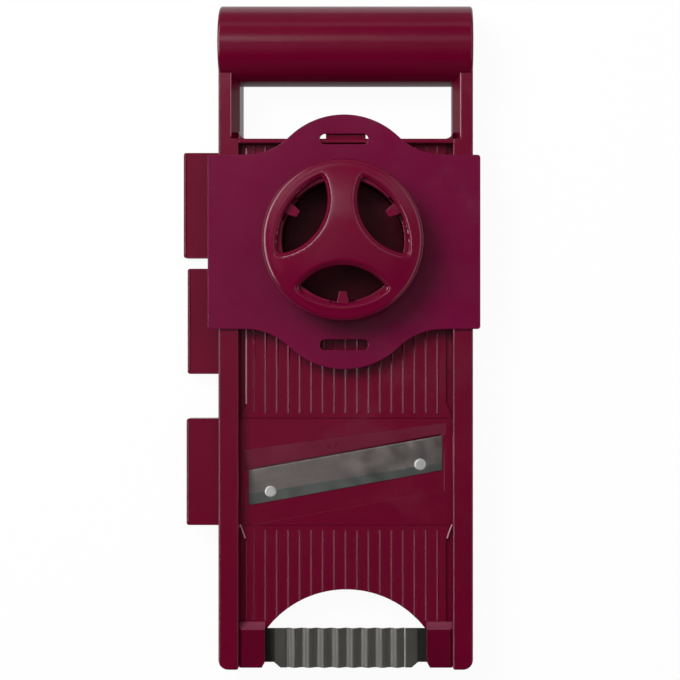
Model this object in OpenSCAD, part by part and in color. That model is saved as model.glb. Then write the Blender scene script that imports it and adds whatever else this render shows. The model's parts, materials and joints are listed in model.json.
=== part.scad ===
// Mandoline slicer lying on its back: a frame with a bar handle, a slicing insert in its bay,
// two julienne inserts stored under the feed deck, and a food holder that rides on the rails.
// The origin is on the bench, under the handle's flat underside. +Y points from the toe to the
// handle and +Z points up, away from the bench.

/* [Frame] */
// Width over the two rails
frame_w = 135; // [130:1:142]
// Length from the origin to the toe of the rails
frame_len = 330.1; // [329:0.1:336]
// Width of each rail
rail_w = 10.7; // [9.5:0.1:12]
// Height of the rails above the bench
rail_h = 31; // [30.5:0.5:34]
// Wall of the hollow rails
rail_wall = 2.2; // [1.8:0.1:2.6]
// Radius of the rails' outer toe corners
toe_r = 5.3; // [2:0.1:7]

/* [Handle] */
// Radius of the bar handle
handle_r = 21.4; // [20:0.1:22]
// Distance of the handle's axis behind the origin
handle_y = 2.4; // [0:0.1:4]
// Height of the handle's axis above the bench
handle_z = 16.8; // [15:0.1:18]
// Wall of the handle's shell
handle_wall = 2.5; // [2:0.1:3]
// Edge of the crossbar that closes the hand opening, measured from the origin
grip_end = 48.5; // [46:0.5:49]
// Width and depth of the finger chamfer on the rails beside the opening
grip_chamfer = [4.3, 8]; // [0:0.1:8]

/* [Decks] */
// Height of the decks' sliding surface
deck_z = 23; // [22.5:0.1:23.5]
// Half width of the raised middle of the decks
plateau_half = 53.4; // [51:0.1:54.5]
// Number of ribs across a deck
rib_count = 17; // [11:2:19]
// Distance between neighbouring ribs
rib_pitch = 6.13; // [5:0.01:6.2]
// Radius of a rib's rounded top
rib_r = 0.6; // [0.4:0.1:0.9]
// Radius of the arch at the end of the exit deck
arch_r = 53.3; // [50:0.1:58]
// Distance from the origin to the crown of the arch
arch_crown = 288.7; // [284:0.1:292]

/* [Inserts] */
// Width of an insert along the slicer
insert_w = 57; // [56:0.1:57.2]
// Thickness of an insert's plate
insert_t = 4.5; // [4:0.1:4.8]
// Distance from the origin to the middle of the insert in use
bay_y = 225.8; // [225.5:0.1:226]
// Distances from the origin to the middles of the two stored inserts
stored_y = [82.6, 145.3]; // [82.4:0.1:145.6]
// Height of the stored inserts' upper faces
stored_z = 11; // [10.8:0.1:11.2]
// How far the two stored inserts stand out of their slots
stored_out = [3, 0.9]; // [0:0.1:4]
// Length of an insert's finger tab outside the rail
tab_len = 17.4; // [14:0.2:20]
// Height of the finger tab
tab_h = 10; // [8:0.5:10.5]
// Width of a straight blade across its edge, measured along the slicer
blade_w = 18.5; // [15:0.5:19]
// Thickness of the straight blades
blade_t = 1; // [0.8:0.1:1.2]
// Height of the julienne teeth above the insert
tooth_h = 5; // [3:0.5:5]
// Distance between the teeth of the fine and the coarse comb
tooth_pitch = [3.6, 7.2]; // [3:0.2:9]

/* [Crinkle blade] */
// Number of waves
wave_count = 8; // [6:1:10]
// Length of one wave
wave_len = 7.8; // [6:0.2:8]
// Height of a wave from trough to crest, at the middle of the sheet
wave_h = 2; // [1.4:0.2:2.2]
// Thickness of the corrugated sheet
wave_t = 0.6; // [0.5:0.1:0.8]
// Clear span between the two end blocks
wave_span = 86; // [80:1:90]

/* [Food holder] */
// Distance from the origin to the middle of the holder
holder_y = 103.4; // [103:0.1:118]
// How far the holder leans to the left within its play on the rails
holder_x = 0.8; // [0:0.1:1.4]
// Width of the holder's plate
holder_w = 144.2; // [143:0.2:150]
// Length of the plate's straight sides
holder_side = 92.2; // [88:0.2:96]
// Length of the plate over its two rounded ends
holder_len = 134.8; // [130:0.2:138]
// Thickness of the plate
holder_t = 2; // [1.8:0.1:2.6]
// Radius of the plate's rounded ends
dome_r = 41.6; // [40:0.1:44]
// Largest radius of the knob
knob_r = 42; // [40:0.1:44]
// Height of the knob's crown above the bench
knob_top = 63; // [62:0.5:66]
// Inner radius of the feeding well
well_r = 31.8; // [31.5:0.1:32]
// Wall of the feeding well
well_t = 2.5; // [2:0.1:2.6]
// Number of pins that hold the food
pin_count = 12; // [6:1:14]

/* [Hidden] */
$fn = 64;
burgundy = [0.40, 0.02, 0.15];
wine = [0.42, 0.05, 0.20];
steel = [0.45, 0.45, 0.43];
bright = [0.78, 0.78, 0.76];
eps = 0.05;

// Frame
half_w = frame_w / 2;
rail_in = half_w - rail_w;
edge = 0.6;
rail_stop = 6;
rail_roof = 2.5;
rail_ribs = [53, 114, 186, 262, 326];
rib_wall = 2;
bar_t = 2.3;
bar_back = grip_end + bar_t;

// Decks and the insert bay
gap = 0.2;
deck_low = deck_z - 4;
groove_z = deck_z - 2;
deck_under = deck_z - 2.4;
bay_near = bay_y - insert_w / 2 - gap;
bay_far = bay_y + insert_w / 2 + gap;
ledge_w = 3;
ledge_top = deck_z - insert_t - gap / 2;
ledge_bottom = ledge_top - 2.5;
flare_len = 6.5;
arch_y = arch_crown + arch_r;
deck_end = 310;

// Blade line on an insert: the edge rises from left to right
blade_x = [-52, 51.4];
blade_rise = 18.8;
blade_mid = 10.1;
blade_angle = atan2(blade_rise, blade_x[1] - blade_x[0]);
rivet_x = [-40.3, 39.6];
rivet_back = 13.4;
rivet_r = 3.05;
shank_r = 1.5;
tail_r = 2.5;
tail_d = 0.7;
ramp_left = [-54, 11.7];
ramp_right = [53, 26.1];
ramp_slope = 15.5;
ramp_angle = atan2(ramp_right.y - ramp_left.y, ramp_right.x - ramp_left.x);
throat_x = blade_x + [0.8, -0.8];
throat_w = 9.6;
throat_slope = 48;
lip_gap = 0.9;
comb_front = 2.2;
comb_w = 5;
comb_t = 0.8;
strip_z = comb_t - insert_t;
seat_d = blade_t - 0.1;
plate_right = rail_in + 1.7;
tab_in = half_w + 0.4;
tab_out = tab_in + tab_len;
slot_clear = 0.2;
notch_back = 20;
notch_front = 27.4;
notch_h = 5.6;

// Guides for the stored inserts
guide_low = 4;
guide_floor = stored_z - insert_t - gap;
guide_roof = stored_z + gap;
guide_lip = 2;
guide_reach = 3;
web_t = 1.4;

// Crinkle blade and its end blocks
block_in = wave_span / 2;
block_y = [305.9, 329.6];
block_rise = 3.5;
block_z = [14, 28];
wave_z = 24.6;
wave_y = [309, 330.1];
tenon = 5;

// Food holder
plate_z = rail_h + 0.2;
plate_top = plate_z + holder_t;
skirt_t = 2.8;
skirt_z = plate_z - 4.6;
dome_y = holder_len / 2 - dome_r;
side_y = holder_side / 2;
fillet_x = 52.5;
fillet_r = (pow(fillet_x, 2) + pow(side_y - dome_y, 2) - pow(dome_r, 2))
           / (2 * (dome_r - side_y + dome_y));
slot_len = 25.7;
slot_w = 5.6;
slot_y = 54.4;
well_top = plate_top + 20.8;
snap_in = 26.6;
snap_w = [5.8, 3.6];
snap_h = 4;
relief_w = 4;
relief_d = 8;
cap_low = plate_top + 0.2;
cap_foot_r = 38.2;
cap_wall = 2.4;
crown_r = 141;
rim_r = 3;
rim_z = knob_top - pow(knob_r - rim_r, 2) / (2 * crown_r) - rim_r;
lens_outer = [40, -5.7];
lens_inner = [29.6, 41.2];
lens_tip = [24, 25.2];
window_wall = [1.8, 1.8, 1.8];
lip_step = [-1.5, -1.7, -1.6];
lip_drop = 1.6;
window_low = well_top + 0.6;
disc_r = well_r - 0.5;
disc_z = [plate_z, plate_z + 2.4];
stem_r = 9.5;
pin_r = 0.9;
pin_tip = 26.8;
pin_top = disc_z[1] - 0.6;
tongue_r = 3.5;
tongue_len = 21;

// Extrudes a (Y, Z) profile along X
module along_x(x0, x1) {
    translate([x0, 0, 0]) rotate([90, 0, 90]) linear_extrude(x1 - x0) children();
}

// Extrudes an (X, Z) profile along Y
module along_y(y0, y1) {
    translate([0, y1, 0]) rotate([90, 0, 0]) linear_extrude(y1 - y0) children();
}

// Extrudes an (X, Y) outline between two heights
module upright(z0, z1) {
    translate([0, 0, z0]) linear_extrude(z1 - z0) children();
}

// Rectangle with rounded corners, from its low to its high corner
module rounded(low, high, r) {
    size = high - low;
    translate(low + [r, 0]) square([size.x - 2 * r, size.y]);
    translate(low + [0, r]) square([size.x, size.y - 2 * r]);
    for (x = [low.x + r, high.x - r], y = [low.y + r, high.y - r]) {
        translate([x, y]) circle(r);
    }
}

module both_sides() {
    children();
    mirror([1, 0, 0]) children();
}

// ---- Handle -------------------------------------------------------------------------------

// The bar with softly rounded ends, or its bore when grown by a negative amount
module handle_bar(r, len, round) {
    translate([0, handle_y, handle_z]) rotate([0, 90, 0]) rotate_extrude() {
        translate([0, -len / 2]) square([r - round, len]);
        translate([0, round - len / 2]) square([r, len - 2 * round]);
        for (end = [-1, 1]) translate([r - round, end * (len / 2 - round)]) circle(round);
    }
}

module handle_bore(play) {
    translate([play - half_w + handle_wall, handle_y, handle_z]) rotate([0, 90, 0])
        cylinder(r = handle_r - handle_wall - play, h = frame_w - 2 * handle_wall - 2 * play);
}

module handle_shell() {
    color(burgundy) difference() {
        intersection() {
            handle_bar(handle_r, frame_w, 1.5);
            upright(0, 2 * handle_r) square([2 * frame_w, 3 * handle_r], center = true);
        }
        handle_bore(0);
        both_sides() along_y(-2 * handle_r, -rail_stop) rail_section(true);
    }
}

// Closes the underside of the bar and stiffens it with three webs
module handle_base() {
    floor_t = 2.5;
    web_x = 40;
    color(burgundy) difference() {
        intersection() {
            handle_bore(0.1);
            union() {
                upright(0, floor_t) translate([0, handle_y]) square([frame_w, 2 * handle_r], center = true);
                for (x = [-web_x, 0, web_x]) {
                    along_x(x - 1, x + 1) {
                        translate([handle_y - handle_r, 0]) square([2 * handle_r, handle_z]);
                    }
                }
            }
        }
        both_sides() along_y(-2 * handle_r, -rail_stop + 0.1) rail_section(false);
    }
}

// ---- Rails --------------------------------------------------------------------------------

// Outline of the right-hand rail; beside the hand opening its inner edge is chamfered
module rail_section(at_grip) {
    inner = at_grip ? grip_chamfer : [edge, edge];
    polygon([[rail_in, 0], [half_w, 0], [half_w, rail_h - edge], [half_w - edge, rail_h],
             [rail_in + inner.x, rail_h], [rail_in, rail_h - inner.y]]);
}

// The square corner left outside a quarter round
module corner_waste(r) {
    difference() {
        square(r + 1);
        circle(r);
    }
}

// Hollow rail, open underneath, with a cross rib at each post
module rail_body() {
    inner_toe = 1.3;
    difference() {
        union() {
            along_y(-grip_end - 1, -rail_stop) rail_section(true);
            along_y(-frame_len, -grip_end) rail_section(false);
        }
        for (i = [0 : len(rail_ribs) - 2]) {
            along_y(rib_wall / 2 - rail_ribs[i + 1], -rail_ribs[i] - rib_wall / 2)
                translate([rail_in + rail_wall, -1])
                    square([rail_w - 2 * rail_wall, rail_h - rail_roof + 1]);
        }
        upright(-1, rail_h + 1) translate([half_w - toe_r, toe_r - frame_len])
            mirror([0, 1]) corner_waste(toe_r);
        upright(-1, rail_h + 1) translate([rail_in + inner_toe, inner_toe - frame_len])
            rotate(180) corner_waste(inner_toe);
    }
}

// Outline of the window that lets an insert with standing teeth through, in (Y, Z)
module insert_window(y, top) {
    reach = insert_w / 2 + slot_clear;
    low = top - insert_t - slot_clear;
    translate([-y, 0]) polygon([[-reach, low], [reach, low], [reach, top + slot_clear],
        [notch_front, top + slot_clear], [notch_front, top + notch_h],
        [-notch_back, top + notch_h], [-notch_back, top + slot_clear],
        [-reach, top + slot_clear]]);
}

module left_rail() {
    color(burgundy) difference() {
        mirror([1, 0, 0]) rail_body();
        along_x(-half_w - 1, 1 - rail_in) {
            insert_window(bay_y, deck_z);
            for (y = stored_y) insert_window(y, stored_z);
        }
    }
}

// The right rail takes the inserts' far ends in shallow slots
module right_rail() {
    color(burgundy) difference() {
        rail_body();
        for (seat = [[bay_y, deck_z], [stored_y[0], stored_z], [stored_y[1], stored_z]]) {
            along_x(rail_in - 1, rail_in + rail_wall + eps)
                translate([-seat[0] - insert_w / 2 - slot_clear, seat[1] - insert_t - slot_clear])
                    square([insert_w + 2 * slot_clear, insert_t + 2 * slot_clear]);
        }
    }
}

// ---- Crossbar and the guides under the feed deck --------------------------------------------

// Channel edge that carries a stored insert: ledge, web and lip; depth runs along +Y
module guide_edge(back) {
    polygon([[back, guide_low], [guide_reach, guide_low], [guide_reach, guide_floor],
             [-gap, guide_floor], [-gap, guide_roof], [guide_lip, guide_roof],
             [guide_lip, guide_roof + 2], [back, guide_roof + 2]]);
}

module cross_bar() {
    front = insert_w / 2 - stored_y[0];
    fillet = 4;
    color(burgundy) {
        along_x(-rail_in, rail_in) {
            polygon([[-grip_end, 0], [-grip_end, rail_h - edge], [-grip_end - edge, rail_h],
                     [-bar_back, rail_h], [-bar_back, 0]]);
            translate([front, 0]) mirror([1, 0]) guide_edge(front + bar_back - 1);
        }
        both_sides() upright(0, rail_h - edge) intersection() {
            translate([rail_in - fillet, -grip_end - eps]) square([fillet, fillet + eps]);
            translate([rail_in - fillet, fillet - grip_end]) mirror([0, 1]) corner_waste(fillet);
        }
        tongue();
    }
}

// Rounded tongue on the crossbar that fills the holder's slot from below
module tongue() {
    translate([0, 1.5 - grip_end, rail_h - 0.4 - tongue_r]) rotate([0, 90, 0])
        cylinder(r = tongue_r, h = tongue_len, center = true);
}

module middle_guide_bar() {
    mid = (stored_y[0] + stored_y[1]) / 2;
    reach = (stored_y[1] - stored_y[0] - insert_w) / 2;
    color(burgundy) translate([0, -mid, 0]) {
        along_x(-rail_in, rail_in) translate([-web_t, guide_low])
            square([2 * web_t, deck_low - guide_low]);
        for (way = [0, 1]) mirror([0, way, 0]) along_x(-rail_in, rail_in)
            translate([reach, 0]) guide_edge(-reach - eps);
    }
}

module lower_guide_bar() {
    edge_y = stored_y[1] + insert_w / 2;
    color(burgundy) along_x(-rail_in, rail_in) {
        translate([-edge_y, 0]) guide_edge(-gap - 2 * web_t);
        translate([-edge_y - gap - 2 * web_t, guide_low])
            square([2 * web_t, deck_low - guide_low]);
    }
}

// ---- Decks --------------------------------------------------------------------------------

// Raised middle of a deck, widening to the full width beside the insert.
// far and near are distances from the origin.
module plateau_outline(far, near) {
    way = near > far ? 1 : -1;
    wide = rail_in - gap;
    bend = way * 1.5 - near;
    both_sides() polygon([[-1, -far], [plateau_half, -far], [plateau_half, bend + way * flare_len],
                          [wide, bend], [wide, -near], [-1, -near]]);
}

// A deck: side flanges, ribbed plateau, a shallow pocket underneath and the ledge for the insert
module deck(far, near, rib_far) {
    way = near > far ? 1 : -1;
    low = min(-far, -near);
    high = max(-far, -near);
    lip = -near - way * ledge_w;
    wall = way * 2.5 - near;
    inset = 4;
    rib_ends = [-rib_far, way * 2.6 - near];
    difference() {
        union() {
            upright(deck_low, groove_z) translate([-rail_in, low]) square([2 * rail_in, high - low]);
            upright(groove_z - eps, deck_z) plateau_outline(far, near);
            along_x(-rail_in, rail_in) polygon([[wall, deck_low + eps], [wall, ledge_bottom],
                [lip, ledge_bottom], [lip, ledge_top], [-near, ledge_top],
                [-near, deck_low + eps]]);
            for (i = [0 : rib_count - 1]) {
                translate([(i - (rib_count - 1) / 2) * rib_pitch, max(rib_ends), deck_z - 0.1])
                    rotate([90, 0, 0])
                        cylinder(r = rib_r, h = max(rib_ends) - min(rib_ends), $fn = 24);
            }
        }
        upright(deck_low - 1, deck_under)
            translate([inset - plateau_half, low + inset])
                square([2 * (plateau_half - inset), high - low - 2 * inset]);
    }
}

module feed_deck() {
    color(burgundy) deck(bar_back, bay_near, bar_back + 0.8);
}

// The exit deck ends in an arch that lets crinkle-cut slices fall through
module exit_deck() {
    color(burgundy) difference() {
        union() {
            deck(deck_end, bay_far, block_y[0] - 0.5);
            arch_rim();
        }
        upright(0, rail_h) translate([0, -arch_y]) circle(arch_r, $fn = 128);
    }
}

// Solid rim round the arch, which closes the deck's pocket there
module arch_rim() {
    rim = 3;
    upright(deck_low, deck_under + eps) intersection() {
        translate([-plateau_half, -deck_end]) square([2 * plateau_half, deck_end - bay_far]);
        translate([0, -arch_y]) circle(arch_r + rim, $fn = 128);
    }
}

// ---- Crinkle blade --------------------------------------------------------------------------

// Right-hand block that holds the crinkle blade's end
module end_block() {
    corner = [1.7, 3.2];
    difference() {
        along_x(block_in, rail_in) polygon([[-block_y[0], deck_z],
            [-block_y[0] - block_rise, block_z[1]], [-block_y[1], block_z[1]],
            [-block_y[1], block_z[0]], [-deck_end, block_z[0]], [-deck_end, deck_z]]);
        along_x(block_in - 1, block_in + tenon + eps)
            translate([-wave_y[1] - 1, wave_z - wave_t / 2 - eps])
                square([wave_y[1] - wave_y[0] + 1 + eps, wave_t + 2 * eps]);
        upright(0, rail_h) polygon([[block_in - 1, -block_y[1] - 1],
            [block_in + corner.x, -block_y[1] - 1], [block_in + corner.x, -block_y[1]],
            [block_in, corner.y - block_y[1]], [block_in - 1, corner.y - block_y[1]]]);
        along_y(-frame_len, 0) polygon([[rail_in - 1.2, block_z[1] + eps],
            [rail_in + 1, block_z[1] + eps], [rail_in + 1, block_z[1] - 2.2]]);
    }
}

module right_end_block() {
    color(burgundy) end_block();
}

module left_end_block() {
    color(burgundy) mirror([1, 0, 0]) end_block();
}

// Corrugated sheet with a ground edge and cut-back lower corners; flat tenons enter the blocks
module crinkle_blade() {
    cut = [35, 38.5, 3];
    ground = 1.6;
    edge_t = 0.2;
    color(steel) difference() {
        union() {
            along_y(-wave_y[1], -wave_y[0] - ground) sheet_section(wave_t);
            along_y(-wave_y[0] - ground, -wave_y[0]) sheet_section(edge_t);
        }
        both_sides() upright(0, rail_h) polygon([[cut[0], -wave_y[1] - 1],
            [cut[0], -wave_y[1]], [cut[1], cut[2] - wave_y[1]],
            [block_in + tenon + 1, cut[2] - wave_y[1]],
            [block_in + tenon + 1, -wave_y[1] - 1]]);
    }
}

// Section of the crinkle blade, in (X, Z): waves between two flat ends with their tenons
module sheet_section(t) {
    steps = 12;
    bend = 0.9;
    half = wave_count * wave_len / 2;
    far = block_in + tenon;
    waves = [for (i = [0 : wave_count * steps])
        [i * wave_len / steps - half, wave_z - wave_h / 2 * cos(360 * i / steps)]];
    middle = concat([[-far, wave_z], [-half - bend, wave_z]], waves,
                    [[half + bend, wave_z], [far, wave_z]]);
    last = len(middle) - 1;
    polygon(concat([for (p = middle) p + [0, t / 2]],
                   [for (i = [last : -1 : 0]) middle[i] - [0, t / 2]]));
}

// ---- Inserts ------------------------------------------------------------------------------

// Every insert is drawn with the middle of its upper face at the origin
module place_insert(y, z, out) {
    translate([-out, -y, z]) children();
}

function edge_y(x) = blade_mid + (x - (blade_x[0] + blade_x[1]) / 2) * tan(blade_angle);

// Strip parallel to the cutting edge, from one distance behind it to another
module edge_strip(x0, x1, front, back) {
    polygon([[x0, edge_y(x0) - front], [x1, edge_y(x1) - front],
             [x1, edge_y(x1) - back], [x0, edge_y(x0) - back]]);
}

// Ramp that lowers the food before the edge; it is cut by a tilted plane
module ramp_cut() {
    intersection() {
        upright(-insert_t - 1, 1) polygon([ramp_left + [0, 1], ramp_right + [0, 1],
            [ramp_right.x, edge_y(ramp_right.x)], [ramp_left.x, edge_y(ramp_left.x)]]);
        translate([ramp_left.x, ramp_left.y, 0]) rotate([0, 0, ramp_angle])
            rotate([ramp_slope, 0, 0]) translate([-20, -40, 0]) cube([160, 40, 20]);
    }
}

// Depth of the ramp where it ends, just before the edge
function lip_depth(x) = tan(ramp_slope) * cos(ramp_angle)
    * (ramp_left.y + (x - ramp_left.x) * tan(ramp_angle) - edge_y(x) - lip_gap);

// Throat under the edge; its front wall runs back from the ramp's lip, so that slices slide off
module throat() {
    depth = [lip_depth(blade_x[0]), lip_depth(blade_x[1])];
    fall = atan2(depth[0] - depth[1], (blade_x[1] - blade_x[0]) / cos(blade_angle));
    intersection() {
        upright(-insert_t - 1, 1) edge_strip(throat_x[0], throat_x[1], -lip_gap, throat_w);
        translate([blade_x[0], edge_y(blade_x[0]) + lip_gap, -depth[0]])
            rotate([0, 0, blade_angle]) rotate([0, -fall, 0]) rotate([throat_slope, 0, 0])
                translate([-10, -30, 0]) cube([130, 50, 20]);
    }
}

module insert_plate() {
    recess = 11;
    recess_d = 0.5;
    color(burgundy) difference() {
        union() {
            upright(-insert_t, 0) translate([-tab_in - 1, -insert_w / 2])
                square([tab_in + 1 + plate_right, insert_w]);
            finger_tab();
        }
        ramp_cut();
        throat();
        upright(-seat_d, 1) edge_strip(blade_x[0] - eps, blade_x[1] + eps, -lip_gap, blade_w + eps);
        upright(-recess_d, 1) edge_strip(ramp_left.x + 0.5, ramp_right.x - 0.5, throat_w - 2,
                                         blade_w + recess);
        for (x = rivet_x) translate([x, edge_y(x) - rivet_back, -insert_t - 1]) {
            cylinder(r = shank_r + eps, h = insert_t + 2);
            cylinder(r = tail_r + eps, h = 1 + tail_d);
        }
    }
}

// Box-shaped finger tab outside the rail, open underneath, with a bead along its outer edge
module finger_tab() {
    round = 1.4;
    wall = 2;
    bead = 0.5;
    difference() {
        upright(-tab_h, 0) rounded([-tab_out, -insert_w / 2], [-tab_in, insert_w / 2], round);
        upright(-tab_h - 1, -wall)
            translate([wall - tab_out, wall - insert_w / 2])
                square([tab_len - 2 * wall, insert_w - 2 * wall]);
    }
    translate([1 - tab_out, insert_w / 2 - round, 0]) rotate([90, 0, 0])
        cylinder(r = bead, h = insert_w - 2 * round, $fn = 24);
}

// Straight blade with a ground edge and two rivet holes
module straight_blade() {
    top = blade_t - seat_d;
    ground = 2.4;
    color(steel) difference() {
        upright(-seat_d, top) edge_strip(blade_x[0], blade_x[1], 0, blade_w);
        translate([blade_x[0], edge_y(blade_x[0]), 0]) rotate([0, 0, blade_angle])
            along_x(-5, 120) polygon([[1, top - 0.1], [0, top - 0.1], [-ground, -seat_d],
                                      [-ground, -seat_d - 1], [1, -seat_d - 1]]);
        for (x = rivet_x) translate([x, edge_y(x) - rivet_back, -insert_t])
            cylinder(r = shank_r + eps, h = insert_t + 2);
    }
}

module rivets() {
    top = blade_t - seat_d;
    color(bright) for (x = rivet_x) translate([x, edge_y(x) - rivet_back, 0]) {
        translate([0, 0, top]) cylinder(r = rivet_r, h = 0.4);
        translate([0, 0, top + 0.4]) cylinder(r1 = rivet_r, r2 = rivet_r - 0.7, h = 0.3);
        translate([0, 0, 0.1 - insert_t]) {
            cylinder(r = shank_r, h = insert_t - 0.1 + top);
            cylinder(r = tail_r, h = tail_d - 0.1);
        }
    }
}

// Upright julienne knives in a row before the cutting edge; grow widens them for their slots
module knives(pitch, grow) {
    knife_t = 0.6;
    usable = blade_x[1] - blade_x[0] - 8;
    count = floor(usable / pitch);
    for (i = [0 : count]) {
        x = (blade_x[0] + blade_x[1]) / 2 + (i - count / 2) * pitch;
        translate([x - knife_t / 2, edge_y(x) + comb_front, 0]) along_x(-grow, knife_t + grow)
            polygon([[0.6 - grow, strip_z - eps], [comb_w - 0.6 + grow, strip_z - eps],
                     [comb_w - 0.6 + grow, -1], [comb_w - 2 + grow, tooth_h],
                     [0.6 - grow, tooth_h]]);
    }
}

// The strip under the ramp that carries the knives
module comb_strip(grow) {
    edge_strip(blade_x[0] + 2 - grow, blade_x[1] - 2 + grow,
               -comb_front - comb_w - grow, grow - comb_front);
}

module comb(pitch) {
    color(steel) {
        upright(-insert_t, strip_z) comb_strip(0);
        knives(pitch, 0);
    }
}

// Plate of a julienne insert: the strip lies in a groove underneath, the knives in slots
module julienne_plate(pitch) {
    difference() {
        insert_plate();
        upright(-insert_t - 1, strip_z) comb_strip(slot_clear);
        knives(pitch, 0.1);
    }
}

module slicing_plate() {
    place_insert(bay_y, deck_z, 0) insert_plate();
}

module slicing_blade() {
    place_insert(bay_y, deck_z, 0) straight_blade();
}

module slicing_rivets() {
    place_insert(bay_y, deck_z, 0) rivets();
}

module fine_plate() {
    place_insert(stored_y[0], stored_z, stored_out[0]) julienne_plate(tooth_pitch[0]);
}

module fine_blade() {
    place_insert(stored_y[0], stored_z, stored_out[0]) straight_blade();
}

module fine_comb() {
    place_insert(stored_y[0], stored_z, stored_out[0]) comb(tooth_pitch[0]);
}

module fine_rivets() {
    place_insert(stored_y[0], stored_z, stored_out[0]) rivets();
}

module coarse_plate() {
    place_insert(stored_y[1], stored_z, stored_out[1]) julienne_plate(tooth_pitch[1]);
}

module coarse_blade() {
    place_insert(stored_y[1], stored_z, stored_out[1]) straight_blade();
}

module coarse_comb() {
    place_insert(stored_y[1], stored_z, stored_out[1]) comb(tooth_pitch[1]);
}

module coarse_rivets() {
    place_insert(stored_y[1], stored_z, stored_out[1]) rivets();
}

// ---- Food holder ----------------------------------------------------------------------------

// The holder is drawn with its well on the Z axis
module place_holder() {
    translate([-holder_x, -holder_y, 0]) children();
}

// One end of the plate: a round dome that runs into the straight sides through hollow curves
module dome_end() {
    translate([0, dome_y]) circle(dome_r, $fn = 128);
    difference() {
        translate([-fillet_x, 0]) square([2 * fillet_x, dome_y + dome_r * 0.72]);
        both_sides() translate([fillet_x, side_y + fillet_r]) circle(fillet_r, $fn = 128);
    }
}

module holder_outline() {
    corner = 1.6;
    rounded([-holder_w / 2, -side_y], [holder_w / 2, side_y], corner);
    dome_end();
    mirror([0, 1]) dome_end();
}

module holder_slot() {
    reach = (slot_len - slot_w) / 2;
    translate([-reach, -slot_w / 2]) square([2 * reach, slot_w]);
    for (side = [-1, 1]) translate([side * reach, 0]) circle(slot_w / 2);
}

module holder_plate() {
    skirt_len = side_y - 1.6;
    color(wine) place_holder() {
        upright(plate_z, plate_top) difference() {
            holder_outline();
            circle(well_r);
            for (way = [-1, 1]) translate([0, way * slot_y]) holder_slot();
        }
        both_sides() along_y(-skirt_len, skirt_len)
            polygon([[holder_w / 2, plate_top - edge], [holder_w / 2, skirt_z],
                     [holder_w / 2 - skirt_t + edge, skirt_z],
                     [holder_w / 2 - skirt_t, skirt_z + edge],
                     [holder_w / 2 - skirt_t, plate_z + eps],
                     [holder_w / 2 - edge, plate_z + eps]]);
    }
}

// Tube that guides the pusher, with three snap tabs at its mouth
module holder_well() {
    color(wine) place_holder() {
        difference() {
            upright(plate_top, well_top) difference() {
                circle(well_r + well_t);
                circle(well_r);
            }
            for (turn = [30, 150, 270]) rotate(turn) both_reliefs();
        }
        for (turn = [30, 150, 270]) rotate(turn) snap_tab();
    }
}

// Slits on both sides of a snap tab, which let it bend
module both_reliefs() {
    for (side = [-1, 1]) {
        upright(well_top - relief_d, well_top + 1)
            translate([well_r - 1, side * (snap_w[0] + relief_w) / 2 - relief_w / 2])
                square([well_t + 3, relief_w]);
    }
}

module snap_tab() {
    root = well_r + 1;
    upright(well_top - snap_h, well_top)
        polygon([[root, snap_w[0] / 2], [well_r - 1, snap_w[0] / 2],
                 [snap_in, snap_w[1] / 2], [snap_in, -snap_w[1] / 2],
                 [well_r - 1, -snap_w[0] / 2], [root, -snap_w[0] / 2]]);
}

// Lens-shaped window; grow widens its outer side, its inner side and its tips
module lens(grow) {
    intersection() {
        translate([lens_outer[1], 0]) circle(lens_outer[0] + grow[0], $fn = 128);
        translate([lens_inner[1], 0]) circle(lens_inner[0] + grow[1], $fn = 128);
        translate([lens_tip[1], 0]) circle(lens_tip[0] + grow[2], $fn = 128);
    }
}

// Half section of the knob: flared side, rolled rim and a low crown; inset gives the inside
module cap_section(inset) {
    low = inset > 0 ? cap_low - 1 : cap_low;
    intersection() {
        translate([0, rim_z]) square([knob_r - rim_r, knob_top - rim_z]);
        translate([0, knob_top - crown_r]) circle(crown_r - inset, $fn = 256);
    }
    translate([knob_r - rim_r, rim_z]) circle(rim_r - inset);
    polygon([[0, low], [cap_foot_r - inset, low], [knob_r - inset, rim_z],
             [knob_r - rim_r, rim_z + eps], [0, rim_z + eps]]);
}

module knob_cap() {
    color(wine) place_holder() difference() {
        union() {
            difference() {
                rotate_extrude($fn = 128) intersection() {
                    cap_section(0);
                    translate([0, cap_low]) square([2 * knob_r, knob_top]);
                }
                rotate_extrude($fn = 128) intersection() {
                    cap_section(cap_wall);
                    square([2 * knob_r, knob_top]);
                }
            }
            window_walls();
        }
        for (turn = [30, 150, 270]) rotate(turn) window();
    }
}

// Hole with a sunken lip all round
module window() {
    upright(cap_low, knob_top + 1) lens(lip_step);
    difference() {
        upright(rim_z, knob_top + 1) lens([0, 0, 0]);
        translate([0, 0, knob_top - crown_r]) sphere(crown_r - lip_drop, $fn = 256);
    }
}

// Walls that line the windows below the crown
module window_walls() {
    intersection() {
        for (turn = [30, 150, 270]) rotate(turn) upright(window_low, knob_top) lens(window_wall);
        rotate_extrude($fn = 128) intersection() {
            cap_section(0.6);
            square([2 * knob_r, knob_top]);
        }
    }
}

// Hollow stem that joins the knob to the pin disc
module pusher_stem() {
    bore = 7;
    color(wine) place_holder() intersection() {
        upright(disc_z[1], knob_top) difference() {
            circle(stem_r);
            circle(bore);
        }
        translate([0, 0, knob_top - crown_r]) sphere(crown_r - cap_wall, $fn = 256);
    }
}

module pin_disc() {
    rim = 1.6;
    rim_h = 0.8;
    color(wine) place_holder() difference() {
        union() {
            upright(disc_z[0], disc_z[1]) circle(disc_r);
            upright(disc_z[1] - eps, disc_z[1] + rim_h) difference() {
                circle(disc_r);
                circle(disc_r - rim);
            }
        }
        pin_places() upright(0, pin_top) circle(pin_r);
    }
}

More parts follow.
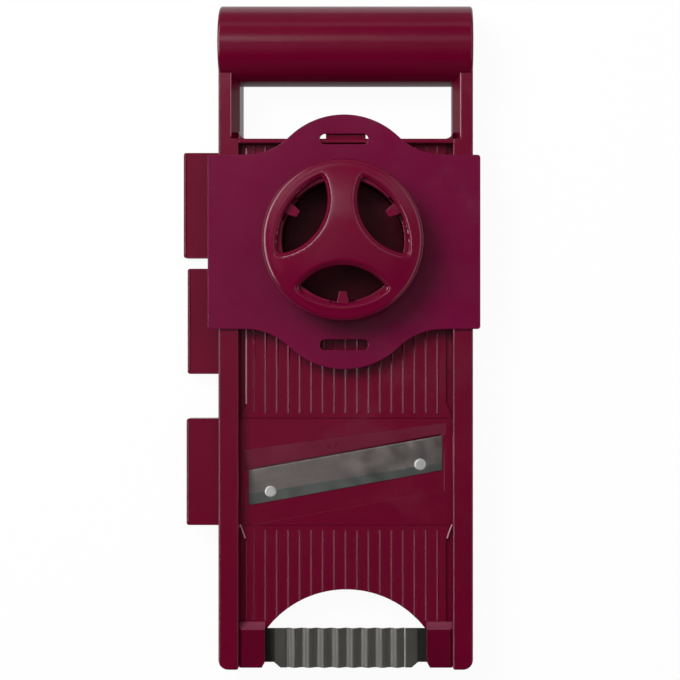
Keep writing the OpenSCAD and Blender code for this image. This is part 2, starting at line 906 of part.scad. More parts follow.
module pin_places() {
    ring = 24;
    inner = 14;
    outer_count = ceil(pin_count * 2 / 3);
    for (i = [0 : outer_count - 1]) rotate(i * 360 / outer_count) translate([ring, 0]) children();
    for (i = [0 : pin_count - outer_count - 1]) {
        rotate(45 + i * 360 / (pin_count - outer_count)) translate([inner, 0]) children();
    }
}

module holder_pins() {
    point = 2;
    color(bright) place_holder() pin_places() {
        upright(pin_tip + point, pin_top) circle(pin_r, $fn = 24);
        translate([0, 0, pin_tip]) cylinder(r1 = 0.15, r2 = pin_r, h = point + eps, $fn = 24);
    }
}

handle_shell();
handle_base();
left_rail();
right_rail();
cross_bar();
middle_guide_bar();
lower_guide_bar();
feed_deck();
exit_deck();
left_end_block();
right_end_block();
crinkle_blade();
slicing_plate();
slicing_blade();
slicing_rivets();
fine_plate();
fine_blade();
fine_comb();
fine_rivets();
coarse_plate();
coarse_blade();
coarse_comb();
coarse_rivets();
holder_plate();
holder_well();
knob_cap();
pusher_stem();
pin_disc();
holder_pins();
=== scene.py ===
"""The looks of the mandoline slicer: its plastic and steel, the studio round it and the camera."""
import json
import math

import bpy
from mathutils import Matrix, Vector


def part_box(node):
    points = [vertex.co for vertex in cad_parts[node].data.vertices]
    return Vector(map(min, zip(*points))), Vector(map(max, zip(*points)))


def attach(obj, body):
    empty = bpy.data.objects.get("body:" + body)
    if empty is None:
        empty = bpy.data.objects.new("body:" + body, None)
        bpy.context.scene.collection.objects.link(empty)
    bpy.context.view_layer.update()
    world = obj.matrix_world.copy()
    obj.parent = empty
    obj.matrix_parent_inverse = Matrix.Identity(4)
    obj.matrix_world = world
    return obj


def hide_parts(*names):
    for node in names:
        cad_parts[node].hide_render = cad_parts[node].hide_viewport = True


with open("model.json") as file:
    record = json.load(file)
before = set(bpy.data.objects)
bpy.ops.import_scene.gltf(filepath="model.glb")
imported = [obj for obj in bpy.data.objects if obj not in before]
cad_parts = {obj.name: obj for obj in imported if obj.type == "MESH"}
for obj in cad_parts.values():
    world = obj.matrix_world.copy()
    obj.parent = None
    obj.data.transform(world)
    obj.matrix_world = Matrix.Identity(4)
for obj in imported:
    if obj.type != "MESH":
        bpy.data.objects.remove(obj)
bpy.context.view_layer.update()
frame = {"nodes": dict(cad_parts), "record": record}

MM = 0.001

# ---- Places and sizes -----------------------------------------------------------------

# Camera, and the level, width and middle of the stretch of the slicer that it takes in
CAMERA_PLACE = (27.7 * MM, -150.0 * MM, 942.6 * MM)
RAIL_TOP = 31.0 * MM
VIEW_WIDTH = 360.4 * MM
VIEW_CENTRE = (-3.0 * MM, -155.3 * MM)
SENSOR_WIDTH_IN_MM = 36.0

# Slant of the straight blades' edges, the width of the band of painted shade along their backs at
# the left and right end, and the greatest depth of the nicks in their edges
BLADE_ANGLE = 10.3
BAND = (5.9 * MM, 4.0 * MM)
NICK_DEPTH = 1.1 * MM

# Crinkle blade: distances from its middle to the outermost bends, which get a painted highlight,
# and to the ends, which get painted shade
GLINT_BEND = 31.4 * MM
SHADED_END = 38.0 * MM

# Raised middle of the decks: half its width, its top, the flare beside the insert, and the gap
# between that flare and the end of the exit deck
PLATEAU_HALF = 53.4 * MM
PLATEAU_TOP = 23.0 * MM
FLARE = (3.2 * MM, 9.0 * MM)
FLARE_GAP = 2.4 * MM

# Ridges on the decks, coloured as painted highlights: radius of the strong and of the faint ones,
# depth of their middle line under the top, what they leave free at the ends, and the share of the
# flare that carries the painted highlight
RIDGE_RADIUS = 0.45 * MM
FAINT_RADIUS = 0.35 * MM
RIDGE_SUNK = 0.25 * MM
FREE_AT_RAMP = 10.5 * MM
FREE_AT_HEEL = 2.0 * MM
FREE_AT_BLOCK = 0.5 * MM
HIGHLIGHT_SHARE = 0.84

# Ridges beside the hand opening, coloured as painted highlights: distance from the middle, start,
# end and height
GRIP_X = 60.95 * MM
GRIP_START = -13.5 * MM
GRIP_END = -47.6 * MM
GRIP_Z = 30.65 * MM

# Rounded knob: size of the cells that its mesh is made from, and rounds of smoothing
KNOB_CELL = 0.54 * MM
KNOB_ROUNDS = 18

# ---- Colours --------------------------------------------------------------------------

BURGUNDY = (0.125, 0.0006, 0.018)
BLOCK_BURGUNDY = (0.1, 0.0005, 0.0145)
WINE = (0.135, 0.001, 0.031)
KNOB_WINE = (0.133, 0.001, 0.022)
# Pusher colour darkened as painted shade for the inside of the knob
SHADE_DARKENED_PUSHER = (0.03, 0.0008, 0.005)
BLADE_GREY = (0.63, 0.545, 0.535)
RIVET_GREY = (0.55, 0.55, 0.54)
PIN_GREY = (0.75, 0.75, 0.75)
CRINKLE_GREY = (0.135, 0.13, 0.12)
BENCH_WHITE = (0.92, 0.92, 0.92)
ROOM_WHITE = (1, 1, 1)

# Marks on the steel with painted shade and painted highlights, and films on the plastic with
# painted sheen
# Painted shade for the band along the straight blades' backs
BAND_SHADE_GREY = (0.36, 0.42, 0.39)
HONED_WHITE = (1.0, 1.0, 0.98)
# Painted highlight at the crinkle blade's outermost bends
GLINT_WHITE = (0.75, 0.72, 0.66)
# Painted shade at the crinkle blade's ends
END_SHADE_BLACK = (0.01, 0.012, 0.011)
# Smear film on the plastic, also the painted sheen on the insert's faces that slope to the toe
SMEAR_FILM_AND_SHEEN = (0.155, 0.018, 0.041)
# Paler painted sheen on the end blocks' bevels, which slope to the heel
BEVEL_SHEEN = (0.22, 0.044, 0.083)

# Painted highlight colours of the ridges, from the strongest to the faintest: the decks' corners,
# the right and the left rail beside the hand opening, and the exit deck's long edge
HIGHLIGHT_TONES = ((0.55, 0.24, 0.32), (0.36, 0.14, 0.19), (0.29, 0.06, 0.12),
                (0.13, 0.007, 0.035))

# ---- Noise, as scale in waves per metre, detail and roughness --------------------------

CLOUDS = (26.0, 3.0, 0.45)
SMEARS = (16.0, 5.0, 0.6)
RUBBING = (60.0, 4.0, 0.6)
WAVES = (16.0, 1.0, 0.4)
RIPPLES = (160.0, 2.0, 0.5)
SHEEN_BLOTCHES = (60.0, 3.0, 0.5)
ROLLING_STRETCH = (30, 2200, 30)
ROLLING_LINES = (1.0, 2.0, 0.6)
STEEL_BLOTCHES = (130.0, 4.0, 0.65)
EDGE_NICKS = (900.0, 2.0, 0.5)

# ---- Light, in lists that pair a place or an angle with a level -------------------------

# Bench just under the slicer: its middle and size, half the width and length of the outline that
# its glow follows, and the glow's levels at distances outside that outline, with painted shade
# inside the outline, a painted pool of light just outside it and a dimmer level further out
BENCH_PLACE = (0, -0.16, -0.4 * MM)
BENCH_SIZE = 6
BENCH_HALF = (0.08, 0.18)
BENCH_GLOW_AND_PAINTED_SHADE = [(-0.5, 0.35), (-0.02, 0.35), (0, 0.65), (0.08, 0.65), (0.16, 0.17), (3, 0.17)]

# Soft boxes overhead: middle line, height, width and length, and levels along the slicer and
# across it
SOFT_BOX_Y = 0.1
SOFT_BOX_Z = 1.0
SOFT_BOX_SIZE = (1.5, 2.3)
SOFT_BOX_ALONG = [(-1.1, 0.0), (-0.55, 0.0), (-0.5, 0.02), (-0.36, 0.06), (-0.28, 0.07),
                  (-0.22, 0.13), (0.0, 0.14), (0.11, 0.17), (0.15, 0.88), (0.34, 1.05),
                  (0.41, 0.45), (0.58, 0.11), (0.9, 0.1), (1.3, 0.12)]
SOFT_BOX_ACROSS = [(-1.2, 0.2), (-0.6, 0.3), (-0.38, 0.9), (-0.2, 1.35), (-0.06, 0.64),
                   (0.1, 0.32), (0.5, 0.25), (1.2, 0.2)]

# Room: its walls by the angle from straight up, which is positive towards the heel, and a window
# by its lean from straight up and by its direction, from 0 at the left round to the heel
WALLS = [(-math.pi, 0.17), (-1.7, 0.17), (-1.55, 0.03), (-0.2, 0.03), (0.2, 0.13), (1.2, 0.13),
         (1.5, 0.18), (math.pi, 0.18)]
WINDOW_LEAN = [(0, 0), (0.65, 0), (0.69, 1), (1.12, 1), (1.18, 0), (math.pi, 0)]
WINDOW_DIRECTION = [(-math.pi, 0.2), (-2.4, 0.2), (-2.2, 0.0), (-0.5, 0.0), (-0.35, 1), (1.0, 1),
                    (1.15, 0.04), (2.0, 0.04), (2.2, 0.2), (math.pi, 0.2)]
WINDOW_LEVEL = 6.0
ROOM_LIGHT = 0.12

# Lamps: name, place, size and power, and the spot that they all face
LAMPS = (("key panel", (-0.55, 0.36, 1.1), (0.6, 0.6), 13),
         ("fill panel", (0.15, 0.15, 1.3), (1.2, 1.2), 7))
LAMP_AIM = (0, -0.15, 0)


# ---- Pieces ---------------------------------------------------------------------------

def body_of(node):
    """The body that a CAD node rides on."""
    bodies = frame["record"]["behaviour"]["bodies"]
    return next(body for body, nodes in bodies.items() if node in nodes)


def slot_of(node):
    """The material slot of a CAD node."""
    rows = frame["record"]["subparts"]
    return next(row["material_slot"] for row in rows if row["node"] == node)


def dress(piece, material):
    """Gives a piece one material in place of those it has."""
    piece.data.materials.clear()
    piece.data.materials.append(material)


# ---- Node helpers ---------------------------------------------------------------------

def add(tree, kind, **settings):
    """Adds a node and sets its properties."""
    node = tree.nodes.new(kind)
    for name, value in settings.items():
        setattr(node, name, value)
    return node


def fill(tree, socket, value):
    """Sets an input, or links it where the value is the output of a node."""
    if isinstance(value, bpy.types.NodeSocket):
        tree.links.new(value, socket)
    else:
        socket.default_value = value


def feed(tree, node, **values):
    """Fills inputs by their names, with spaces written as underscores."""
    for name, value in values.items():
        fill(tree, node.inputs[name.replace("_", " ")], value)
    return node


def arithmetic(tree, operation, *values):
    """The result of a Math node."""
    node = add(tree, "ShaderNodeMath", operation=operation)
    for socket, value in zip(node.inputs, values):
        fill(tree, socket, value)
    return node.outputs[0]


def blend_colours(tree, factor, first, second, blend="MIX"):
    """The first colour with the factor's share of the second, by one of Mix's blend types."""
    node = add(tree, "ShaderNodeMix", data_type="RGBA", blend_type=blend)
    for socket, value in zip((node.inputs[0], node.inputs[6], node.inputs[7]),
                             (factor, first, second)):
        fill(tree, socket, value)
    return node.outputs[2]


def tinted(tree, colour, tone):
    """A colour made darker or lighter by a tone near 1."""
    shade = add(tree, "ShaderNodeCombineColor")
    for socket in shade.inputs[:3]:
        tree.links.new(tone, socket)
    return blend_colours(tree, 1.0, colour, shade.outputs[0], "MULTIPLY")


def change(tree, value, start, end, first=0.0, last=1.0, kind="SMOOTHSTEP"):
    """A level that goes from first to last as the value goes from start to end."""
    node = add(tree, "ShaderNodeMapRange", interpolation_type=kind)
    feed(tree, node, Value=value, From_Min=start, From_Max=end, To_Min=first, To_Max=last)
    return node.outputs[0]


def line_ramp(tree, value, stops):
    """A level that changes evenly between stops of (value, level)."""
    low, high = stops[0][0], stops[-1][0]
    share = arithmetic(tree, "MULTIPLY_ADD", value, 1 / (high - low), -low / (high - low))
    ramp = add(tree, "ShaderNodeValToRGB")
    elements = ramp.color_ramp.elements
    while len(elements) < len(stops):
        elements.new(0.5)
    for element, (place, level) in zip(elements, stops):
        element.position = (place - low) / (high - low)
        element.color = (level, level, level, 1)
    tree.links.new(share, ramp.inputs[0])
    return ramp.outputs["Color"]


def noise(tree, place, pattern):
    """A soft random pattern with the given scale, detail and roughness."""
    scale, detail, roughness = pattern
    node = add(tree, "ShaderNodeTexNoise")
    feed(tree, node, Vector=place, Scale=scale, Detail=detail, Roughness=roughness)
    return node.outputs["Fac"]


def axes_of(tree, kind):
    """The X, Y and Z of the given output of Texture Coordinate."""
    split = add(tree, "ShaderNodeSeparateXYZ")
    tree.links.new(add(tree, "ShaderNodeTexCoord").outputs[kind], split.inputs[0])
    return split.outputs


def new_group(name, inputs, outputs):
    """An empty node group with its input and output nodes."""
    group = bpy.data.node_groups.new(name, "ShaderNodeTree")
    kinds = {"colour": "NodeSocketColor", "value": "NodeSocketFloat", "vector": "NodeSocketVector"}
    for label, kind in inputs:
        group.interface.new_socket(label, in_out="INPUT", socket_type=kinds[kind])
    for label, kind in outputs:
        group.interface.new_socket(label, in_out="OUTPUT", socket_type=kinds[kind])
    return group, add(group, "NodeGroupInput"), add(group, "NodeGroupOutput")


def new_material(name):
    """A new material with its node tree."""
    material = bpy.data.materials.new(name)
    material.use_nodes = True
    return material, material.node_tree


# ---- Shared effects -------------------------------------------------------------------

def moulding_group():
    """Uneven tone and gloss, slight waves and a skin of fine ripples, as on moulded plastic."""
    group, given, result = new_group(
        "moulded skin",
        [("Colour", "colour"), ("Film", "colour"), ("Unevenness", "value"), ("Gloss", "value"),
         ("Wear", "value")],
        [("Colour", "colour"), ("Roughness", "value"), ("Height", "value")])
    place = add(group, "ShaderNodeTexCoord").outputs["Object"]
    cloud = arithmetic(group, "SUBTRACT", noise(group, place, CLOUDS), 0.5)
    tone = arithmetic(group, "MULTIPLY_ADD", cloud, given.outputs["Unevenness"], 1.0)
    toned = tinted(group, given.outputs["Colour"], tone)
    smear = change(group, noise(group, place, SMEARS), 0.57, 0.72, last=0.35)
    wear_and_highlight = arithmetic(group, "SUBTRACT", noise(group, place, RUBBING), 0.5)
    feed(group, result,
         Colour=blend_colours(group, smear, toned, given.outputs["Film"]),
         Roughness=arithmetic(group, "MULTIPLY_ADD", wear_and_highlight, given.outputs["Wear"],
                              given.outputs["Gloss"]),
         Height=arithmetic(group, "MULTIPLY_ADD", noise(group, place, WAVES), 12.0,
                           noise(group, place, RIPPLES)))
    return group


def sheen_group():
    """Painted sheen: a duller, paler colour on faces that slope towards the heel (Side 1) or the
    toe (Side -1).
    """
    group, given, result = new_group(
        "painted slope sheen",
        [("Colour", "colour"), ("Haze", "colour"), ("Roughness", "value"), ("Side", "value"),
         ("Least Up", "value")],
        [("Colour", "colour"), ("Roughness", "value")])
    facing = axes_of(group, "Normal")
    lean = arithmetic(group, "MULTIPLY", facing["Y"], given.outputs["Side"])
    slope = change(group, lean, 0.12, 0.24)
    up = arithmetic(group, "GREATER_THAN", facing["Z"], given.outputs["Least Up"])
    place = add(group, "ShaderNodeTexCoord").outputs["Object"]
    blotch = change(group, noise(group, place, SHEEN_BLOTCHES), 0.2, 0.8, first=0.5, kind="LINEAR")
    # Share of the painted sheen: sloped, upward faces, in blotches
    share = arithmetic(group, "MULTIPLY", arithmetic(group, "MULTIPLY", slope, up), blotch)
    feed(group, result,
         Colour=blend_colours(group, share, given.outputs["Colour"], given.outputs["Haze"]),
         Roughness=arithmetic(group, "MULTIPLY_ADD", share, 0.25, given.outputs["Roughness"]))
    return group


def grain_group():
    """Fine lines along X and soft blotches, as on rolled and handled steel."""
    group, given, result = new_group(
        "rolled steel", [("Place", "vector"), ("Colour", "colour"), ("Gloss", "value")],
        [("Colour", "colour"), ("Roughness", "value")])
    stretch = add(group, "ShaderNodeMapping")
    feed(group, stretch, Vector=given.outputs["Place"], Scale=ROLLING_STRETCH)
    line = noise(group, stretch.outputs[0], ROLLING_LINES)
    blotch = noise(group, given.outputs["Place"], STEEL_BLOTCHES)
    both = arithmetic(group, "MULTIPLY_ADD", blotch, 0.6, arithmetic(group, "MULTIPLY", line, 0.4))
    tone = arithmetic(group, "MULTIPLY_ADD", both, 0.7, 0.65)
    feed(group, result,
         Colour=tinted(group, given.outputs["Colour"], tone),
         Roughness=arithmetic(group, "MULTIPLY_ADD", blotch, 0.25, given.outputs["Gloss"]))
    return group


def blade_group():
    """Marks of a straight slanted blade: a band of painted shade along its back and nicks in its
    edge.
    """
    group, given, result = new_group(
        "blade marks", [("Colour", "colour"), ("Length", "value"), ("Depth", "value")],
        [("Colour", "colour")])
    along, up = axes_of(group, "Generated")[:2]
    length, depth = given.outputs["Length"], given.outputs["Depth"]
    slant = math.tan(math.radians(BLADE_ANGLE))
    rise = arithmetic(group, "MULTIPLY", arithmetic(group, "MULTIPLY", along, slant), length)
    from_back = arithmetic(group, "SUBTRACT", arithmetic(group, "MULTIPLY", up, depth), rise)
    width = arithmetic(group, "MULTIPLY_ADD", along, BAND[1] - BAND[0], BAND[0])
    # Band of painted shade along the back, narrowing from the left end to the right
    band = change(group, arithmetic(group, "SUBTRACT", from_back, width),
                  -0.3 * MM, 0.3 * MM, first=0.85, last=0.0)
    band_shaded = blend_colours(group, band, given.outputs["Colour"], (*BAND_SHADE_GREY, 1))
    blade_width = arithmetic(group, "MULTIPLY_ADD", length, -slant, depth)
    from_edge = arithmetic(group, "SUBTRACT", blade_width, from_back)
    place = add(group, "ShaderNodeTexCoord").outputs["Object"]
    ragged = arithmetic(group, "MULTIPLY", noise(group, place, EDGE_NICKS), NICK_DEPTH)
    honed = arithmetic(group, "LESS_THAN", from_edge, ragged)
    feed(group, result,
         Colour=blend_colours(group, arithmetic(group, "MULTIPLY", honed, 0.7), band_shaded,
                              (*HONED_WHITE, 1)))
    return group


def bend_group():
    """Painted light on a pressed sheet: a painted highlight at its outermost bends and painted
    shade at its ends.
    """
    group, given, result = new_group(
        "painted bend glints and end shade", [("Colour", "colour"), ("Bend", "value"), ("End", "value")],
        [("Colour", "colour")])
    across = arithmetic(group, "ABSOLUTE", axes_of(group, "Object")["X"])
    apart = arithmetic(group, "ABSOLUTE", arithmetic(group, "SUBTRACT", across,
                                                     given.outputs["Bend"]))
    # Painted highlight along the bends, and painted shade past the ends
    glint = change(group, apart, 0.45 * MM, 0.15 * MM, last=0.75)
    end = change(group, arithmetic(group, "SUBTRACT", across, given.outputs["End"]),
                 -0.4 * MM, 0.4 * MM, last=0.7)
    dark = blend_colours(group, end, given.outputs["Colour"], (*END_SHADE_BLACK, 1))
    feed(group, result, Colour=blend_colours(group, glint, dark, (*GLINT_WHITE, 1)))
    return group


MOULDED_SKIN = moulding_group()
PAINTED_SHEEN = sheen_group()
ROLLED_STEEL = grain_group()


# ---- Finishes -------------------------------------------------------------------------

def moulded_plastic(name, colour, gloss, edge, shine=0.5, **sheen_values):
    """Plastic with edges rounded by a radius, and with a painted sheen on sloped faces if that has
    values.
    """
    material, tree = new_material(name)
    surface = add(tree, "ShaderNodeGroup", node_tree=MOULDED_SKIN)
    feed(tree, surface, Colour=(*colour, 1), Film=(*SMEAR_FILM_AND_SHEEN, 1), Unevenness=0.25, Gloss=gloss,
         Wear=0.2)
    top = surface
    if sheen_values:
        top = add(tree, "ShaderNodeGroup", node_tree=PAINTED_SHEEN)
        feed(tree, top, Colour=surface.outputs["Colour"],
             Roughness=surface.outputs["Roughness"], **sheen_values)
    corner = feed(tree, add(tree, "ShaderNodeBevel", samples=6), Radius=edge)
    bump = add(tree, "ShaderNodeBump")
    feed(tree, bump, Height=surface.outputs["Height"], Normal=corner.outputs[0],
         Strength=0.25, Distance=0.2 * MM)
    feed(tree, tree.nodes["Principled BSDF"], Base_Color=top.outputs["Colour"],
         Roughness=top.outputs["Roughness"], Normal=bump.outputs[0], Specular_IOR_Level=shine)
    return material


def steel(name, colour, gloss, turn=0.0, metal=1.0, marks=None, **values):
    """Bare metal with rolling lines turned from the width, and a group of marks with values."""
    material, tree = new_material(name)
    place = add(tree, "ShaderNodeMapping")
    feed(tree, place, Vector=add(tree, "ShaderNodeTexCoord").outputs["Object"],
         Rotation=(0, 0, math.radians(-turn)))
    surface = add(tree, "ShaderNodeGroup", node_tree=ROLLED_STEEL)
    feed(tree, surface, Place=place.outputs[0], Colour=(*colour, 1), Gloss=gloss)
    top = surface
    if marks:
        top = add(tree, "ShaderNodeGroup", node_tree=marks)
        feed(tree, top, Colour=surface.outputs["Colour"], **values)
    feed(tree, tree.nodes["Principled BSDF"], Base_Color=top.outputs["Colour"],
         Roughness=surface.outputs["Roughness"], Metallic=metal)
    return material


def dress_nodes():
    """Gives each CAD node its own finish, or the one of its slot."""
    blade = frame["nodes"]["slicing_blade"].dimensions
    finishes = {
        "frame_plastic": moulded_plastic("burgundy frame plastic", BURGUNDY, gloss=0.15,
                                         edge=0.9 * MM),
        # The insert's faces that slope to the toe get a painted sheen
        "insert_plastic": moulded_plastic("burgundy insert plastic", BURGUNDY, gloss=0.15,
                                          edge=0.3 * MM, Haze=(*SMEAR_FILM_AND_SHEEN, 1), Side=-1.0,
                                          Least_Up=0.8),
        "holder_plastic": moulded_plastic("wine holder plastic", WINE, gloss=0.14,
                                          edge=0.7 * MM),
        "blade_steel": steel("blade steel", BLADE_GREY, gloss=0.25, turn=BLADE_ANGLE,
                             marks=blade_group(), Length=blade.x, Depth=blade.y),
        "rivet_metal": steel("rivet metal", RIVET_GREY, gloss=0.45, metal=0.7),
        "pin_steel": steel("pin steel", PIN_GREY, gloss=0.2),
    }
    # The pin disc and stem are darkened as painted shade for the knob's dark inside
    pusher = moulded_plastic("pusher plastic darkened as painted shade", SHADE_DARKENED_PUSHER, gloss=0.5, edge=0.5 * MM,
                             shine=0.2)
    # The end blocks' bevels get a paler painted sheen
    blocks = moulded_plastic("burgundy block plastic", BLOCK_BURGUNDY, gloss=0.15,
                             edge=0.3 * MM, Haze=(*BEVEL_SHEEN, 1), Side=1.0, Least_Up=0.3)
    own = {
        "feed_deck": moulded_plastic("burgundy feed_deck plastic", BURGUNDY, gloss=0.15,
                                     edge=0.5 * MM, shine=0.42),
        "exit_deck": moulded_plastic("burgundy exit_deck plastic", BURGUNDY, gloss=0.2,
                                     edge=0.5 * MM, shine=0.33),
        "crinkle_blade": steel("crinkle steel", CRINKLE_GREY, gloss=0.42, turn=90, metal=0.95,
                               marks=bend_group(), Bend=GLINT_BEND, End=SHADED_END),
        "pin_disc": pusher,
        "pusher_stem": pusher,
        "left_end_block": blocks,
        "right_end_block": blocks,
    }
    for node, piece in frame["nodes"].items():
        dress(piece, own[node] if node in own else finishes[slot_of(node)])


# ---- Ridges with painted highlights ---------------------------------------------------

def ridge(name, node, start, end, radius):
    """A rounded bead from start to end, sunk into the edge of a node."""
    bpy.ops.object.select_all(action="DESELECT")
    reach = Vector(end) - Vector(start)
    bpy.ops.mesh.primitive_cylinder_add(
        vertices=16, radius=radius, depth=reach.length,
        location=(Vector(start) + Vector(end)) / 2,
        rotation=reach.to_track_quat("Z", "Y").to_euler())
    bead = bpy.context.object
    bead.name = name
    bpy.ops.object.transform_apply(location=True, rotation=True, scale=True)
    ends = bead.modifiers.new("rounded ends", "BEVEL")
    ends.width = 0.6 * radius
    ends.segments = 3
    bpy.ops.object.modifier_apply(modifier=ends.name)
    bpy.ops.object.shade_smooth_by_angle()
    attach(bead, body_of(node))
    return bead


def add_ridges():
    """Ridges on the edges of the decks and beside the hand opening, in colours that paint
    highlights.
    """
    top = PLATEAU_TOP - RIDGE_SUNK
    low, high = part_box("feed_deck")
    corners = [ridge("feed_deck_ridge", "feed_deck", (-PLATEAU_HALF, low[1] + FREE_AT_RAMP, top),
                     (-PLATEAU_HALF, high[1] - FREE_AT_HEEL, top), RIDGE_RADIUS)]
    low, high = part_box("exit_deck")
    flare_start = high[1] - FLARE_GAP
    for name, side in (("left", -1), ("right", 1)):
        corners.append(ridge(
            f"exit_deck_{name}_ridge", "exit_deck",
            (side * (PLATEAU_HALF + FLARE[0]), flare_start, top),
            (side * (PLATEAU_HALF + (1 - HIGHLIGHT_SHARE) * FLARE[0]),
             flare_start - HIGHLIGHT_SHARE * FLARE[1], top), RIDGE_RADIUS))
    right, left = [ridge(f"{side}_rail_ridge", f"{side}_rail", (x, GRIP_START, GRIP_Z),
                         (x, GRIP_END, GRIP_Z), FAINT_RADIUS)
                   for side, x in (("right", GRIP_X), ("left", -GRIP_X))]
    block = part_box("left_end_block")[1][1]
    edge = ridge("exit_deck_edge_ridge", "exit_deck", (-PLATEAU_HALF, flare_start - FLARE[1], top),
                 (-PLATEAU_HALF, block + FREE_AT_BLOCK, top), FAINT_RADIUS)
    # Each row of ridges gets a bright colour that paints a highlight line
    rows = zip((corners, [right], [left], [edge]), HIGHLIGHT_TONES)
    for number, (beads, tone) in enumerate(rows, 1):
        wear_and_highlight = moulded_plastic(f"painted highlight ridge plastic {number}", tone, gloss=0.4,
                                 edge=0.2 * MM)
        for bead in beads:
            dress(bead, wear_and_highlight)


# ---- Rounded knob ---------------------------------------------------------------------

def round_knob():
    """The knob again with softly rolled lips round its windows."""
    bpy.ops.object.select_all(action="DESELECT")
    cap = frame["nodes"]["knob_cap"]
    cap.select_set(True)
    bpy.context.view_layer.objects.active = cap
    bpy.ops.object.duplicate()
    knob = bpy.context.object
    knob.name = "rounded_knob"
    bpy.ops.object.mode_set(mode="EDIT")
    bpy.ops.mesh.select_all(action="SELECT")
    bpy.ops.mesh.remove_doubles(threshold=0.01 * MM)
    bpy.ops.object.mode_set(mode="OBJECT")
    remesh = knob.modifiers.new("even mesh", "REMESH")
    remesh.mode = "VOXEL"
    remesh.voxel_size = KNOB_CELL
    remesh.use_smooth_shade = True
    smooth = knob.modifiers.new("rolled lips", "SMOOTH")
    smooth.factor = 0.5
    smooth.iterations = KNOB_ROUNDS
    for modifier in (remesh.name, smooth.name):
        bpy.ops.object.modifier_apply(modifier=modifier)
    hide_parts("knob_cap")
    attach(knob, body_of("knob_cap"))
    return knob


# ---- Surroundings ---------------------------------------------------------------------

def seen_ray(tree):
    """1 for rays that show the background: straight from the camera, in gloss or through glass."""
    path = add(tree, "ShaderNodeLightPath").outputs
    open_view = arithmetic(tree, "MAXIMUM", path["Is Camera Ray"], path["Is Glossy Ray"])
    return arithmetic(tree, "MAXIMUM", open_view, path["Is Transmission Ray"])


def mix_surface(tree, output, share, first, second):
    """Shows the first shader with a share of the second."""
    mix = add(tree, "ShaderNodeMixShader")
    for socket, value in zip(mix.inputs, (share, first.outputs[0], second.outputs[0])):
        tree.links.new(value, socket)
    feed(tree, tree.nodes[output], Surface=mix.outputs[0])


def flat_sheet(name, middle, size):
    """A level sheet of the studio, which isn't part of the slicer, and its material's nodes."""
    bpy.ops.object.select_all(action="DESELECT")
    bpy.ops.mesh.primitive_plane_add(size=1, location=middle)
    sheet = bpy.context.object
    sheet.scale = (*size, 1)
    bpy.ops.object.transform_apply(location=False, rotation=False, scale=True)
    sheet.name = name
    material, tree = new_material(name)
    sheet.data.materials.append(material)
    return sheet, tree


def make_floor():
    """A white bench that keeps a trace of the slicer's shadow, and whose glow in gloss has painted
    shade under the slicer and a painted pool of light round it.
    """
    tree = flat_sheet("bench", BENCH_PLACE, (BENCH_SIZE, BENCH_SIZE))[1]
    shader = tree.nodes["Principled BSDF"]
    feed(tree, shader, Base_Color=(*BENCH_WHITE, 1), Roughness=0.9, Specular_IOR_Level=0.0)
    outside = [arithmetic(tree, "SUBTRACT", arithmetic(tree, "ABSOLUTE", part), half)
               for part, half in zip(axes_of(tree, "Object"), BENCH_HALF)]
    # Glow for gloss: painted shade inside the outline and a painted pool of light round it
    glow_and_painted_shade = line_ramp(tree, arithmetic(tree, "MAXIMUM", *outside), BENCH_GLOW_AND_PAINTED_SHADE)
    camera = add(tree, "ShaderNodeLightPath").outputs["Is Camera Ray"]
    glow = feed(tree, add(tree, "ShaderNodeEmission"),
                Strength=arithmetic(tree, "MAXIMUM", camera, glow_and_painted_shade))
    mix_surface(tree, "Material Output", arithmetic(tree, "MULTIPLY", seen_ray(tree), 0.95),
                shader, glow)


def make_soft_boxes():
    """Soft boxes hung overhead, brightest behind the handle, which show only as gloss."""
    boxes, tree = flat_sheet("soft boxes", (0, SOFT_BOX_Y, SOFT_BOX_Z), SOFT_BOX_SIZE)
    boxes.visible_camera = False
    boxes.visible_diffuse = False
    boxes.visible_shadow = False
    boxes.visible_transmission = False
    x, y = axes_of(tree, "Object")[:2]
    along = line_ramp(tree, arithmetic(tree, "ADD", y, SOFT_BOX_Y), SOFT_BOX_ALONG)
    across = line_ramp(tree, x, SOFT_BOX_ACROSS)
    glow = feed(tree, add(tree, "ShaderNodeEmission"),
                Strength=arithmetic(tree, "MULTIPLY", along, across))
    feed(tree, tree.nodes["Material Output"], Surface=glow.outputs[0])


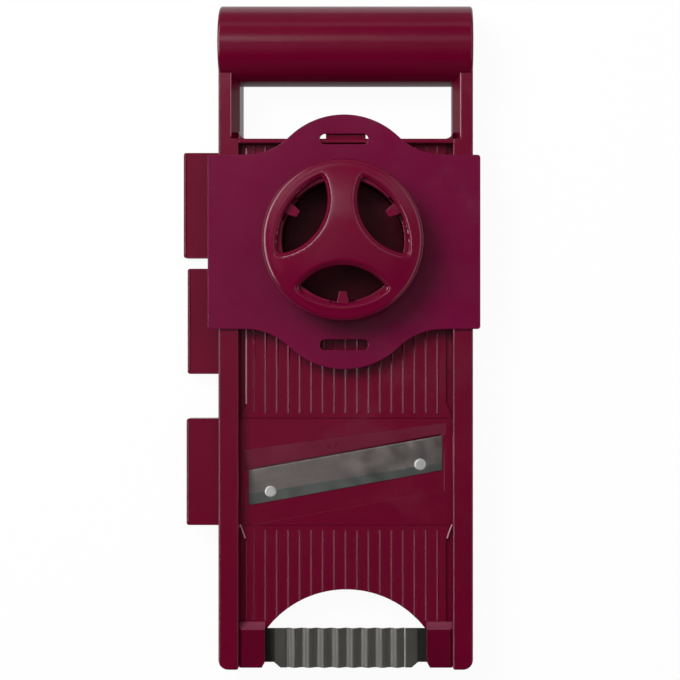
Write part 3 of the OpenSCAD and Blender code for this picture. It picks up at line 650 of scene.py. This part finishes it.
def make_world():
    """A dim room with a bright window low at the left, and plain white for the camera."""
    world = bpy.data.worlds.new("studio")
    bpy.context.scene.world = world
    world.use_nodes = True
    tree = world.node_tree
    x, y, z = axes_of(tree, "Generated")
    room = line_ramp(tree, arithmetic(tree, "ARCTAN2", y, z), WALLS)
    ring = line_ramp(tree, arithmetic(tree, "ARCCOSINE", z), WINDOW_LEAN)
    direction = arithmetic(tree, "ARCTAN2", y, arithmetic(tree, "MULTIPLY", x, -1.0))
    window = arithmetic(tree, "MULTIPLY", ring, line_ramp(tree, direction, WINDOW_DIRECTION))
    lit = arithmetic(tree, "MULTIPLY_ADD", window, WINDOW_LEVEL, room)
    camera = add(tree, "ShaderNodeLightPath").outputs["Is Camera Ray"]
    seen = feed(tree, tree.nodes["Background"], Color=arithmetic(tree, "MAXIMUM", camera, lit),
                Strength=1.0)
    light = feed(tree, add(tree, "ShaderNodeBackground"), Color=(*ROOM_WHITE, 1),
                 Strength=ROOM_LIGHT)
    mix_surface(tree, "World Output", seen_ray(tree), light, seen)


def make_lamps():
    """Two soft panels, which don't show in the gloss."""
    for name, place, size, power in LAMPS:
        light = bpy.data.lights.new(name, "AREA")
        light.shape = "RECTANGLE"
        light.size, light.size_y = size
        light.energy = power
        lamp = bpy.data.objects.new(name, light)
        bpy.context.scene.collection.objects.link(lamp)
        lamp.location = place
        view = Vector(LAMP_AIM) - Vector(place)
        lamp.rotation_euler = view.to_track_quat("-Z", "Y").to_euler()
        lamp.visible_glossy = False


def make_camera():
    """A camera high over the slicer's right side, shifted to take in all of it."""
    data = bpy.data.cameras.new("camera")
    camera = bpy.data.objects.new("camera", data)
    bpy.context.scene.collection.objects.link(camera)
    camera.location = CAMERA_PLACE
    data.sensor_width = SENSOR_WIDTH_IN_MM
    data.lens = SENSOR_WIDTH_IN_MM * (CAMERA_PLACE[2] - RAIL_TOP) / VIEW_WIDTH
    data.shift_x = (VIEW_CENTRE[0] - CAMERA_PLACE[0]) / VIEW_WIDTH
    data.shift_y = (VIEW_CENTRE[1] - CAMERA_PLACE[1]) / VIEW_WIDTH
    bpy.context.scene.camera = camera


make_camera()
make_floor()
make_soft_boxes()
make_world()
make_lamps()
bpy.context.scene.view_settings.view_transform = "Standard"

dress_nodes()
add_ridges()
knob_plastic = moulded_plastic("wine knob plastic", KNOB_WINE, gloss=0.14, edge=0.7 * MM)
dress(round_knob(), knob_plastic)
dress(frame["nodes"]["holder_well"], knob_plastic)
